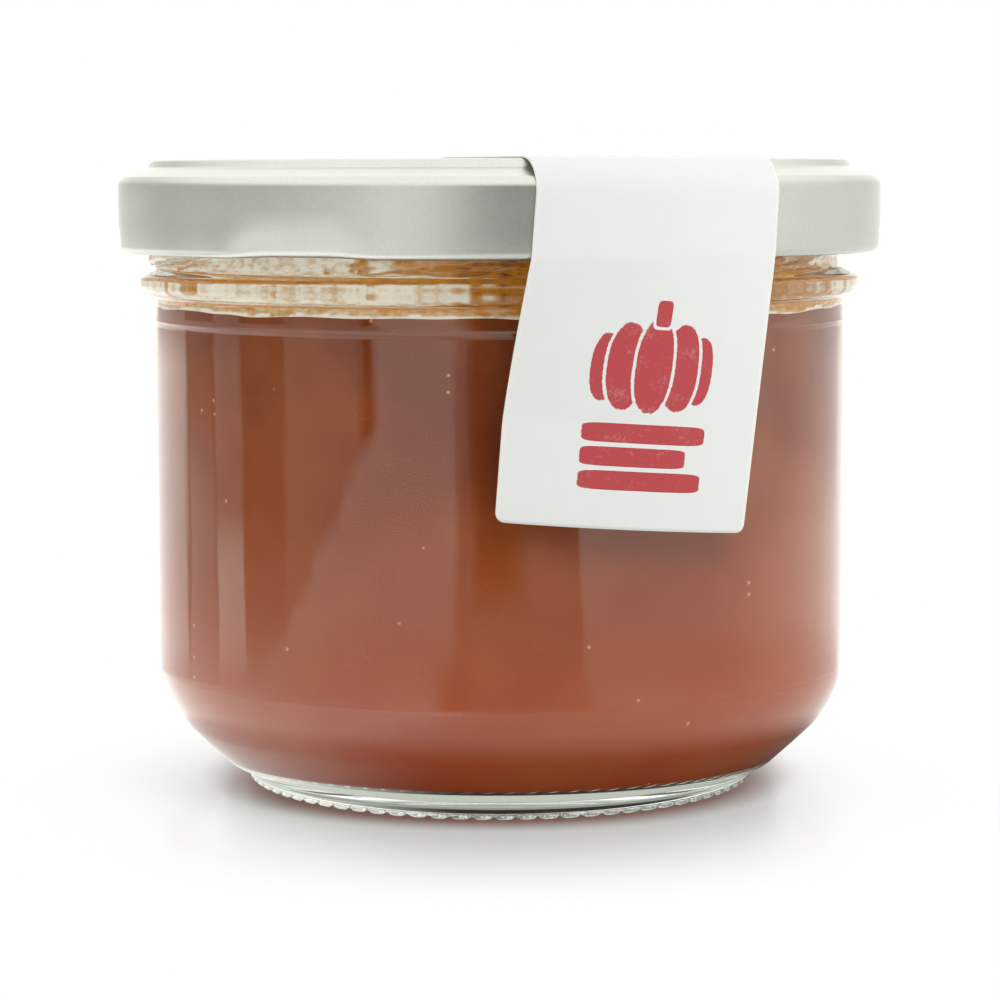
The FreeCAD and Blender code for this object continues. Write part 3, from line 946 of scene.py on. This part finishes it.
@dataclass
class NeckFilm:
    """Dried film inside the neck: mist with spots all round, and jam run over it at the front right."""

    jam: JamFill
    steps: int = 720
    low_z: float = 53.3
    high_z: float = 66.5
    row: float = 0.30
    thickness: float = 0.2
    seed: float = 11.3
    streak: float = 2.2
    run_deg: Span = (-25.0, 66.0)
    run_soft_deg: float = 7.0
    run_steps: tuple[tuple[float, float, float], ...] = ((13.0, 58.6, 1.6), (14.0, 56.6, 0.6))
    wedge_deg: float = -71.0
    wedge_z: float = 59.6
    wedge_half: Span = (9.0, 1.5)
    residue_z: float = 56.12
    tan_z: float = 55.0

    def radius(self, z: float) -> float:
        """Inner radius of the glass at a height."""
        jar = self.jam.jar
        wall_r = jar.body_r - jar.wall
        share = smooth_step((z - jar.ring_z[0] + 0.6) / 5.2)
        return wall_r + (jar.neck_in_r - wall_r) * share

    def wedge(self, azimuth: float, z: float) -> float:
        """Share of the small lens of jam at the far left, from 0 to 1."""
        if abs(angle_between(azimuth, self.wedge_deg)) >= 40.0:
            return 0.0
        aside = math.sin(math.radians(azimuth - self.wedge_deg)) * 36.0 / self.wedge_half[0]
        reach = Vector((aside, (z - self.wedge_z) / self.wedge_half[1], 0.0)).length
        return 1.0 - smooth_step((reach - 0.75) / 0.5)

    def run_over(self, place: Vector) -> float:
        """How far jam has run over the mist at a place, from 0 to 1, with a ragged edge.

        Each of the run's steps moves its left end by some degrees below a height, over a fall in millimetres.
        """
        z = place.z / MM
        azimuth = azimuth_of(place)
        drawn = drawn_out(place, self.streak)
        ragged = 14.0 * roughly(drawn, 4.0, self.seed) + 12.0 * roughly(drawn, 1.3, self.seed + 2.0)
        start = self.run_deg[0]
        for shift, below, fall in self.run_steps:
            start += shift * smooth_step((below - z) / fall)
        left = smooth_step((angle_between(azimuth, start) + ragged) / self.run_soft_deg)
        right = smooth_step((self.run_deg[1] + ragged - angle_between(azimuth, 0.0)) / self.run_soft_deg)
        behind = smooth_step((roughly(place, 11.0, self.seed + 7.0) - 0.22) / 0.16)
        behind *= smooth_step((abs(angle_between(azimuth, 10.0)) - 90.0) / 15.0)
        return max(left * right, 0.9 * self.wedge(azimuth, z), 0.8 * behind)

    def tone(self, place: Vector) -> float:
        """Thickness of the film at a place, from 0 for a thin mist to 1 for thick brown jam."""
        z = place.z / MM
        azimuth = azimuth_of(place)
        edge = self.jam.top_z + self.jam.edge_h + self.jam.lift(place)
        drawn = drawn_out(place, self.streak)
        mist = 0.13 + 0.17 * roughly(drawn, 2.6, self.seed + 1.0)
        mist += 0.12 * roughly(drawn, 0.9, self.seed + 3.0)
        spots = smooth_step((roughly(place, 2.1, self.seed + 5.0) - 0.46) / 0.10)
        mist = max(mist, 0.62 * spots)
        run = 0.54 + 0.24 * roughly(place, 6.0, self.seed + 8.0) + 0.20 * roughly(place, 1.7, self.seed + 9.0)
        run += 0.20 * smooth_step((angle_between(azimuth, -22.0)) / 16.0)
        value = mist + (run - mist) * self.run_over(place)
        ragged = 0.18 * roughly(place, 3.2, self.seed + 10.0)
        residue = 0.78 + 0.22 * roughly(drawn_out(place, 9.0), 3.0, self.seed + 11.0)
        value += (residue - value) * smooth_step((self.residue_z + ragged - z) / 0.22)
        tan = 0.47 + 0.14 * roughly(place, 3.0, self.seed + 4.0)
        tan += 0.13 * smooth_step(angle_between(azimuth, -24.0) / 12.0)
        value += (tan - value) * smooth_step((self.tan_z - z) / 0.3)
        # The film is at its palest in a ragged line just above the jam's uneven edge.
        pale_edge = smooth_step((edge + 0.36 + 0.3 * roughly(place, 2.0, self.seed + 6.0) - z) / 0.16)
        return value * (1.0 - pale_edge)

    def build(self, material: bpy.types.Material) -> None:
        """Builds the film as one thin piece on the glass, with its thickness as an attribute for the finish.

        Args:
            material: The film's finish.
        """
        bm = bmesh.new()
        low = bm.verts.new((self.jam.jar.neck_in_r * MM, 0.0, self.low_z * MM))
        high = bm.verts.new((self.jam.jar.neck_in_r * MM, 0.0, self.high_z * MM))
        edge = bm.edges.new((low, high))
        bmesh.ops.subdivide_edges(bm, edges=[edge], cuts=int((self.high_z - self.low_z) / self.row))
        turn_round(bm, self.steps)
        layer = bm.verts.layers.float.new("thickness")
        for vert in bm.verts:
            set_radius(vert.co, (self.radius(vert.co.z / MM) + 0.06) * MM)
            vert[layer] = self.tone(vert.co)
        inner = bmesh.ops.extrude_face_region(bm, geom=list(bm.faces), use_keep_orig=True)
        for vert in (item for item in inner["geom"] if isinstance(item, bmesh.types.BMVert)):
            thick = self.thickness + 0.35 * max(0.0, vert[layer] - 0.3)
            set_radius(vert.co, math.hypot(vert.co.x, vert.co.y) - thick * MM)
        settle(finish_piece(bm, "neck_film"), material, "jam")


# ---- cap -----------------------------------------------------------------------------------------


@dataclass
class TwistCap(TurnedPiece):
    """Twist-off cap: panel with safety button, stepped shoulder, skirt, rolled edge and six pressed lugs."""

    piece: ClassVar[str] = "twist_cap"
    slot: ClassVar[str] = "tinplate"
    node: ClassVar[str] = "lid"
    steps: int = 432
    cap_r: float = 43.0
    top_z: float = 70.15
    sheet: float = 0.25
    panel_drop: float = 1.05
    button_r: float = 13.0
    button_h: float = 0.45
    ridge_r: Span = (34.6, 39.2)
    step_z: float = 69.3
    shoulder_r: float = 42.3
    shoulder_z: float = 68.35
    skirt_top_z: float = 67.6
    curl_z: float = 59.9
    lug_at_deg: float = -29.5
    lug_span_deg: float = 27.0
    lug_flat_deg: float = 9.0
    lug_top_z: float = 62.35
    lug_dent: float = 0.8
    lug_reach: float = 1.75
    lug_lift: float = 0.16
    lugs: int = 6

    def outline(self) -> list[Corner]:
        """Corners from the middle of the panel, out and down, round the rolled edge and back inside."""
        panel_z = self.top_z - self.panel_drop
        inner_r = self.cap_r - self.sheet
        return [
            Corner(0.0, panel_z + self.button_h),
            Corner(self.button_r - 2.0, panel_z + self.button_h, 3.0, 4),
            Corner(self.button_r, panel_z, 2.0, 4),
            Corner(self.ridge_r[0] - 1.3, panel_z, 1.0, 4),
            Corner(self.ridge_r[0], self.top_z, 0.8, 5),
            Corner(self.ridge_r[1], self.top_z, 0.45, 5),
            Corner(self.ridge_r[1] + 0.5, self.step_z, 0.5, 5),
            Corner(self.shoulder_r, self.shoulder_z, 0.6, 5),
            Corner(self.cap_r, self.skirt_top_z, 0.9, 5),
            Corner(self.cap_r, self.curl_z, 0.8, 6),
            Corner(self.cap_r - 1.85, self.curl_z, 0.6, 5),
            Corner(self.cap_r - 1.85, self.curl_z + 1.45, 0.6, 5),
            Corner(inner_r - 0.1, self.curl_z + 1.6, 0.3, 3),
            Corner(inner_r, self.curl_z + 3.0),
            Corner(inner_r, self.skirt_top_z - 0.1, 0.65, 3),
            Corner(self.shoulder_r - 0.07, self.shoulder_z - self.sheet, 0.35, 2),
            Corner(self.ridge_r[1] + 0.32, self.step_z - self.sheet + 0.03, 0.3, 2),
            Corner(self.ridge_r[1] - 0.22, self.top_z - self.sheet, 0.2, 2),
            Corner(self.ridge_r[0] + 0.16, self.top_z - self.sheet, 0.55, 2),
            Corner(self.ridge_r[0] - 1.14, panel_z - self.sheet, 1.25, 3),
            Corner(self.button_r + 0.06, panel_z - self.sheet, 1.75, 3),
            Corner(self.button_r - 1.94, panel_z + self.button_h - self.sheet, 3.25, 3),
            Corner(0.0, panel_z + self.button_h - self.sheet),
        ]

    def longest(self, place: Vector) -> float:
        """Longest edge of the section: short where the lugs are pressed in."""
        r, z = abs(place.x) / MM, place.z / MM
        return 0.35 if z < self.lug_top_z + 0.6 and r > self.cap_r - 3.0 else 3.0

    def push(self, azimuth: float) -> float:
        """How far the edge is pressed in at an angle, from 0 to 1."""
        half, flat = self.lug_span_deg / 2.0, self.lug_flat_deg / 2.0
        pitch = 360.0 / self.lugs
        turn = abs((azimuth - self.lug_at_deg + pitch / 2.0) % pitch - pitch / 2.0)
        return smooth_step((half - turn) / (half - flat))

    def shape(self, place: Vector) -> None:
        """Presses a point of the skirt's lower band inwards where a lug is."""
        z = place.z / MM
        if z >= self.lug_top_z:
            return
        push = self.push(azimuth_of(place))
        radius = math.hypot(place.x, place.y) / MM
        depth = smooth_step((self.lug_top_z - z) / (self.lug_top_z - self.curl_z))
        inward = smooth_step((self.cap_r - 0.4 - radius) / 1.3)
        amount = self.lug_dent + (self.lug_reach - self.lug_dent) * inward
        set_radius(place, (radius - amount * push * depth) * MM)
        place.z += self.lug_lift * push * depth * MM


# ---- paper strip ---------------------------------------------------------------------------------


@dataclass
class PaperStrip:
    """Paper strip that lies on the cap, folds over its edge and hangs down to the glass, a little askew."""

    width: float = 27.8
    thickness: float = 0.16
    air: float = 0.05
    at_deg: float = 24.05
    lean: float = 0.078
    fold_r: float = 39.0
    edge_r: float = 43.15
    side_z: float = 66.4
    top_z: float = 70.15
    body_r: float = 39.17
    fold_run: float = 6.2
    hang_z: float = 60.2
    land_run: float = 17.0
    land_curve: float = 1.25
    stand_off: float = 0.108
    top_run: float = 26.0
    side_run: float = 40.6
    corner_r: float = 1.0
    cell: float = 0.4

    def hang_radius(self, z: float, side: float) -> float:
        """Radius of the hanging paper; side runs from 0 at its left edge to 1 at its right edge."""
        below = max(0.0, self.hang_z - z)
        to_glass = self.edge_r - self.body_r - self.air
        left = self.edge_r - to_glass * (1.0 - max(0.0, 1.0 - below / self.land_run) ** self.land_curve)
        right = self.edge_r - self.stand_off * below
        return left + (right - left) * side

    def point(self, run: float, across: float, lift: float) -> Vector:
        """Place of a point of the strip.

        Args:
            run: Along the strip from the start of its fold.
            across: From its middle line.
            lift: Off its inner side.

        Returns:
            The place in millimetres.
        """
        lean = math.atan(self.lean)
        arc = across * math.cos(lean) - run * math.sin(lean)
        down = run * math.cos(lean) + across * math.sin(lean)
        turn = arc / self.edge_r
        sideways = self.edge_r * math.sin(turn)
        height = self.side_z - (down - self.fold_run)
        if down < 0.0:
            ahead = math.sqrt(self.fold_r ** 2 - sideways ** 2) + down
            height = self.top_z + self.air + lift
        elif down < self.fold_run:
            bend = math.pi / 2.0 * down / self.fold_run
            radius = self.fold_r + (self.edge_r - self.fold_r + lift) * math.sin(bend)
            ahead = math.sqrt(radius ** 2 - sideways ** 2)
            height = self.side_z + (self.top_z + self.air + lift - self.side_z) * math.cos(bend)
        else:
            radius = self.hang_radius(height, across / self.width + 0.5)
            turn = arc / radius
            sideways = (radius + lift) * math.sin(turn)
            ahead = (radius + lift) * math.cos(turn)
        return polar(ahead, self.at_deg, height) + polar(sideways, self.at_deg + 90.0, 0.0)

    def round_corner(self, run: float, across: float) -> tuple[float, float]:
        """Draws a flat point that lies beyond a rounded corner back onto its arc."""
        middle_run = (self.side_run - self.top_run) / 2.0
        half_run = (self.side_run + self.top_run) / 2.0 - self.corner_r
        half_across = self.width / 2.0 - self.corner_r
        over_run = abs(run - middle_run) - half_run
        over_across = abs(across) - half_across
        if over_run <= 0.0 or over_across <= 0.0:
            return run, across
        past = math.hypot(over_run, over_across)
        if past <= self.corner_r:
            return run, across
        share = self.corner_r / past
        run = middle_run + math.copysign(half_run + over_run * share, run - middle_run)
        return run, math.copysign(half_across + over_across * share, across)

    def build(self, material: bpy.types.Material) -> None:
        """Builds the strip in place of its node.

        Args:
            material: The printed paper.
        """
        length = self.top_run + self.side_run
        bm = bmesh.new()
        bmesh.ops.create_grid(
            bm, x_segments=round(self.width / self.cell), y_segments=round(length / self.cell), size=0.5,
        )
        flat = {}
        for vert in bm.verts:
            across = vert.co.x * self.width
            run = (0.5 - vert.co.y) * length - self.top_run
            flat[vert] = self.round_corner(run, across)
        layer = bm.loops.layers.uv.new("strip_mm")
        for face in bm.faces:
            for loop in face.loops:
                run, across = flat[loop.vert]
                loop[layer].uv = (across, run)
        for vert, (run, across) in flat.items():
            vert.co = self.point(run, across, 0.0) * MM
        bm.normal_update()
        for face in bm.faces:
            face.smooth = True
        outer = bmesh.ops.extrude_face_region(bm, geom=list(bm.faces), use_keep_orig=True)
        lifted = [item for item in outer["geom"] if isinstance(item, bmesh.types.BMVert)]
        for vert in lifted:
            vert.co += self.outward(vert) * self.thickness * MM
        settle(finish_piece(bm, "paper_strip"), material, "paper", "label")

    def outward(self, vert: bmesh.types.BMVert) -> Vector:
        """Direction away from the cap and the jar at a point of the sheet."""
        normal = vert.normal.copy()
        away = Vector((vert.co.x, vert.co.y, 0.0)).normalized() + Vector((0.0, 0.0, 1.0))
        return normal if normal.dot(away) > 0.0 else -normal


# ---- studio --------------------------------------------------------------------------------------


@dataclass(frozen=True)
class Panel:
    """Soft lamp panel that stands round the jar: direction, distance, size and brightness."""

    name: str
    azimuth: float
    elevation: float
    distance: float
    width: float
    height: float
    radiance: float

    def build(self, aim: Vector) -> None:
        """Makes the lamp, aimed at a place and unseen by the camera.

        Args:
            aim: Where it points.
        """
        data = bpy.data.lights.new(self.name, "AREA")
        data.shape = "RECTANGLE"
        data.size, data.size_y = self.width, self.height
        data.energy = self.radiance * math.pi * self.width * self.height
        lamp = bpy.data.objects.new(self.name, data)
        turn, rise = math.radians(self.azimuth), math.radians(self.elevation)
        away = Vector((math.sin(turn) * math.cos(rise), -math.cos(turn) * math.cos(rise), math.sin(rise)))
        lamp.location = aim + away * self.distance
        lamp.rotation_mode = "QUATERNION"
        lamp.rotation_quaternion = (-away).to_track_quat("-Z", "Y")
        lamp.visible_camera = False
        lamp.visible_glossy = False
        lamp.visible_transmission = False
        bpy.context.scene.collection.objects.link(lamp)


@dataclass(frozen=True)
class Band:
    """Part of the surroundings between two azimuths and two elevations, in degrees.

    Its left edge leans by some degrees for each degree below the elevation lean_from.
    """

    start: float
    end: float
    level: float
    low: float = -9.2
    high: float = 1.0
    soft: Span = (1.5, 1.5)
    edge: float = 1.2
    lean: float = 0.0
    lean_from: float = -4.6


@dataclass
class Studio:
    """Pale floor, soft lamps, pale surroundings with dark things among them, and the camera."""

    camera_at: tuple[float, float, float] = (0.0, -0.354, 0.0687)
    pitch_deg: float = 6.03
    roll_deg: float = 0.14
    lens_mm: float = 111.6
    floor_r: float = 3.0
    floor_albedo: float = 0.80
    floor_lift: float = 0.03
    floor_roughness: float = 0.30
    floor_far: Span = (0.022, 0.057)
    floor_middle_y: float = -0.012
    floor_mirror: Span = (0.085, 0.100)
    # painted red-brown shadow close round the foot: its radii, colour and share
    painted_red_shadow_r: Span = (0.0285, 0.0355)
    painted_red_shadow: Colour = (0.145, 0.042, 0.026, 1.0)
    # painted reflection of the floor for glossy rays: where it is bright, and how bright
    mirror_left: Span = (-0.030, -0.004)
    mirror_shade: Span = (0.036, 0.049)
    mirror_level: Span = (1.0, 1.5)
    up_light: float = 0.25
    mirror_both: float = 1.2
    mirror_share: float = 0.85
    painted_red_shadow_share: float = 0.8
    scattered: float = 0.26
    surroundings: Colour = (0.995, 1.0, 0.955, 1.0)
    dark: float = 0.04
    ceiling: float = 2.2
    bands: list[Band] = field(default_factory=lambda: [
        Band(-185.0, 185.0, 1.50, -89.0, -20.0, (1.5, 1.5), 4.0),
        Band(-175.0, -40.0, 0.95, 0.0, 60.0, (4.0, 4.0), 1.5),
        Band(-175.0, -125.0, 0.95, -3.0, 60.0, (3.0, 2.5)),
        Band(-175.0, -125.0, 1.70, -9.2, -2.9, (3.0, 2.5), 0.7),
        Band(-124.0, -109.0, 0.45),
        Band(-124.0, -108.0, 1.15, -9.2, -5.2),
        Band(-108.0, -91.0, 0.95, -9.2, 1.0, (1.5, 3.0)),
        Band(-107.0, -90.0, 2.30, -9.2, -6.6, (2.0, 3.0), 0.7),
        Band(-91.0, -76.0, 0.28),
        Band(-91.0, -73.0, 0.70, -9.2, -7.0),
        Band(-75.0, -45.0, 0.85, -9.2, 1.0, (2.0, 2.0)),
        Band(-39.5, -11.0, 1.80, -9.2, 60.0, (3.2, 4.5), 1.2, 9.0),
        Band(27.0, 178.0, 1.75, -9.2, 60.0, (1.2, 1.5)),
        Band(100.0, 150.0, 1.40, -5.8, 1.0, (4.0, 4.0)),
        Band(122.0, 178.0, 1.20, -2.9, 60.0, (10.0, 3.0), 0.7),
        Band(-12.0, 9.0, 0.78, -13.0, -7.9, (4.0, 5.0), 0.6),
        Band(6.0, 27.5, 0.78, -13.0, -6.7, (5.0, 1.2), 0.6),
        Band(-185.0, -76.0, 2.20, -24.0, -9.0, (2.0, 5.0)),
        Band(-79.0, -18.0, 1.90, -24.0, -9.0, (5.0, 6.0)),
        Band(-15.0, 28.0, 1.00, -24.0, -10.2, (5.0, 2.0)),
        Band(28.0, 185.0, 1.45, -24.0, -8.8, (2.0, 2.0)),
    ])
    panels: list[Panel] = field(default_factory=lambda: [
        Panel("top_panel", 180.0, 84.0, 1.0, 1.3, 1.3, 0.50),
        Panel("key_panel", 42.0, 42.0, 1.0, 0.5, 0.5, 5.0),
        Panel("left_panel", -75.0, 14.0, 0.9, 0.6, 0.6, 1.75),
        Panel("right_panel", 100.0, 12.0, 0.9, 0.7, 0.6, 0.65),
    ])

    def build_camera(self) -> None:
        """Makes the camera and gives it to the scene."""
        data = bpy.data.cameras.new("camera")
        data.lens, data.sensor_width = self.lens_mm, 36.0
        data.clip_start, data.clip_end = 0.01, 20.0
        camera = bpy.data.objects.new("camera", data)
        tilt = Matrix.Rotation(math.radians(90.0 - self.pitch_deg), 4, "X")
        roll = Matrix.Rotation(math.radians(-self.roll_deg), 4, "Z")
        camera.matrix_world = Matrix.Translation(self.camera_at) @ tilt @ roll
        bpy.context.scene.collection.objects.link(camera)
        bpy.context.scene.camera = camera

    def near_floor(self, net: Net, place: Socket, out: Socket, shown: Socket) -> bpy.types.Node:
        """Makes the floor's finish near the jar: a pale board with a painted red-brown shadow close round the
        foot, which stands in for light through the jam.

        Args:
            net: The floor's node tree.
            place: The place on the floor.
            out: Its distance from the middle of the shown floor.
            shown: 1 where the camera sees the floor, straight or through glass or a mirror.

        Returns:
            The shader.
        """
        mottle = net.noise(place, 14.0, 2.0)
        shade = net.spread(mottle, 0.3, 0.7, self.floor_albedo - 0.01, self.floor_albedo)
        colour = net.node("ShaderNodeCombineColor", {0: shade, 1: shade, 2: shade}).outputs[0]
        board = net.node("ShaderNodeBsdfPrincipled", {
            "Base Color": colour, "Roughness": self.floor_roughness, "IOR": 1.45, "Specular IOR Level": 0.5,
        })
        diffuse = net.node("ShaderNodeLightPath").outputs["Is Diffuse Ray"]
        beneath = net.times(net.spread(out, 0.05, 0.12, 0.0, self.up_light), diffuse)
        lift = net.emission(WHITE, net.plus(net.times(shown, self.floor_lift), beneath))
        lit = net.node("ShaderNodeAddShader", {0: board.outputs[0], 1: lift.outputs[0]})
        # Painted shadow: close round the foot a dark red-brown emission takes most of the board's place,
        # standing in for shade and light through the jam.
        red_shadow_shader = net.emission(self.painted_red_shadow)
        close = net.spread(net.length(place), *self.painted_red_shadow_r, self.painted_red_shadow_share, 0.0)
        return net.shader_mix(close, lit, red_shadow_shader)

    def painted_floor_sheen(self, net: Net, place: Socket) -> bpy.types.Node:
        """Makes the painted reflection of the floor that glossy rays see: light given off, bright at the left
        and further out, dark in the jar's painted shade.

        Args:
            net: The floor's node tree.
            place: The place on the floor.

        Returns:
            The shader.
        """
        left = net.spread(net.parts(place)[0], *self.mirror_left, 1.0, 0.0)
        open_floor = net.spread(net.length(place), *self.mirror_shade)
        at_left = net.times(left, self.mirror_level[0])
        seen = net.most(at_left, net.times(open_floor, self.mirror_level[1]))
        seen = net.plus(seen, net.times(net.times(left, open_floor), self.mirror_both))
        return net.emission(self.surroundings, seen)

    def build_floor(self) -> None:
        """Makes the pale, faintly glossy floor, which keeps the jar's shadow and turns white further out."""
        material, net = new_material("pale_floor")
        place = net.object_place()
        path = net.node("ShaderNodeLightPath").outputs
        shown = net.most(path["Is Camera Ray"], path["Is Transmission Ray"])
        shown = net.most(shown, path["Is Glossy Ray"])
        middle = {0: place, 1: (0.0, self.floor_middle_y, 0.0)}
        out = net.length(net.node("ShaderNodeVectorMath", middle, operation="SUBTRACT").outputs[0])
        near = self.near_floor(net, place, out, shown)
        white = net.emission(WHITE)
        shader = net.shader_mix(net.times(net.spread(out, *self.floor_far), shown), near, white)
        # Glossy rays mostly see the painted reflection of the floor instead of the board.
        painted_sheen = self.painted_floor_sheen(net, place)
        shader = net.shader_mix(net.times(path["Is Glossy Ray"], self.mirror_share), shader, painted_sheen)
        beyond = net.times(net.spread(out, *self.floor_mirror), path["Is Glossy Ray"])
        net.surface(net.shader_mix(beyond, shader, net.node("ShaderNodeBsdfTransparent")))
        bm = bmesh.new()
        bmesh.ops.create_circle(bm, cap_ends=True, radius=self.floor_r, segments=96)
        floor = finish_piece(bm, "floor", smooth=False)
        floor.data.materials.append(material)

    def band_mask(self, net: Net, band: Band, azimuth: object, elevation: object) -> Socket:
        """Mask of one band of the surroundings.

        Args:
            net: The world's node tree.
            band: The band.
            azimuth: Azimuth of the direction, in degrees.
            elevation: Its elevation, in degrees.

        Returns:
            1 inside the band and 0 outside.
        """
        from_first = net.math("SUBTRACT", azimuth, band.start)
        if band.lean:
            below = net.math("MINIMUM", net.math("SUBTRACT", elevation, band.lean_from), 0.0)
            from_first = net.math("SUBTRACT", from_first, net.times(below, band.lean))
        left = net.spread(from_first, -band.soft[0], band.soft[0])
        right = net.spread(azimuth, band.end - band.soft[1], band.end + band.soft[1], 1.0, 0.0)
        bottom = net.spread(elevation, band.low - band.edge, band.low + band.edge)
        top = net.spread(elevation, band.high - band.edge, band.high + band.edge, 1.0, 0.0)
        return net.times(net.times(left, right), net.times(bottom, top))

    def mirrored(self, net: Net) -> Socket:
        """Brightness of the surroundings: bands between dark gaps, bright behind, below and above."""
        way = net.node("ShaderNodeTexCoord").outputs["Generated"]
        parts = net.parts(way)
        turn = net.math("ARCTAN2", parts[0], net.times(parts[1], -1.0))
        wavy = net.spread(net.noise(way, 8.0, 3.0), 0.25, 0.75, -2.8, 2.8, "LINEAR")
        azimuth = net.plus(net.times(turn, 180.0 / math.pi), wavy)
        rise = net.math("ARCSINE", net.math("MINIMUM", net.most(parts[2], -1.0), 1.0))
        elevation = net.times(rise, 180.0 / math.pi)
        level: object = self.dark
        behind = net.spread(net.math("ABSOLUTE", azimuth), 152.0, 160.0)
        above = net.spread(elevation, 16.0, 42.0)
        masks = [(self.band_mask(net, band, azimuth, elevation), band.level) for band in self.bands]
        for mask, brightness in masks + [(behind, 1.7), (above, self.ceiling)]:
            level = net.between(mask, level, brightness)
        return level

    def build_world(self) -> None:
        """Makes the surroundings: white where seen, banded in reflections, weaker as mere light."""
        world = bpy.data.worlds.new("surroundings")
        world.use_nodes = True
        world.node_tree.nodes.clear()
        net = Net(world.node_tree)
        path = net.node("ShaderNodeLightPath")
        shown = net.most(path.outputs["Is Camera Ray"], path.outputs["Is Transmission Ray"])
        level = self.mirrored(net)
        share = net.spread(path.outputs["Is Glossy Ray"], 0.0, 1.0, self.scattered, 1.0, "LINEAR")
        white = net.node("ShaderNodeBackground", {"Color": WHITE, "Strength": 1.0})
        around = net.node("ShaderNodeBackground", {
            "Color": self.surroundings, "Strength": net.times(level, share),
        })
        mixed = net.shader_mix(shown, around, white)
        net.surface(mixed, "ShaderNodeOutputWorld")
        world.cycles.sampling_method = "NONE"
        bpy.context.scene.world = world

    def build(self) -> None:
        """Builds the whole studio."""
        self.build_camera()
        self.build_floor()
        self.build_world()
        for panel in self.panels:
            panel.build(Vector((0.0, 0.0, 0.035)))
        bpy.context.scene.view_settings.view_transform = "Standard"
        log.info("studio: floor, surroundings, camera and %d panels", len(self.panels))


# ---- the whole -----------------------------------------------------------------------------------


def main() -> None:
    """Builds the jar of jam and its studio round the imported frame."""
    logging.basicConfig(level=logging.INFO, format="%(name)s %(message)s")
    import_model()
    make_pulp_group()
    make_grain_group()
    jar = GlassJar()
    jar.build(ClearGlass().build())
    jam = JamFill(jar)
    jam.build(PumpkinJam().build())
    NeckFilm(jam).build(JamFilm().build())
    TwistCap().build(Tinplate().build())
    PaperStrip().build(PrintedPaper().build())
    Studio().build()


if __name__ == "__main__":
    main()
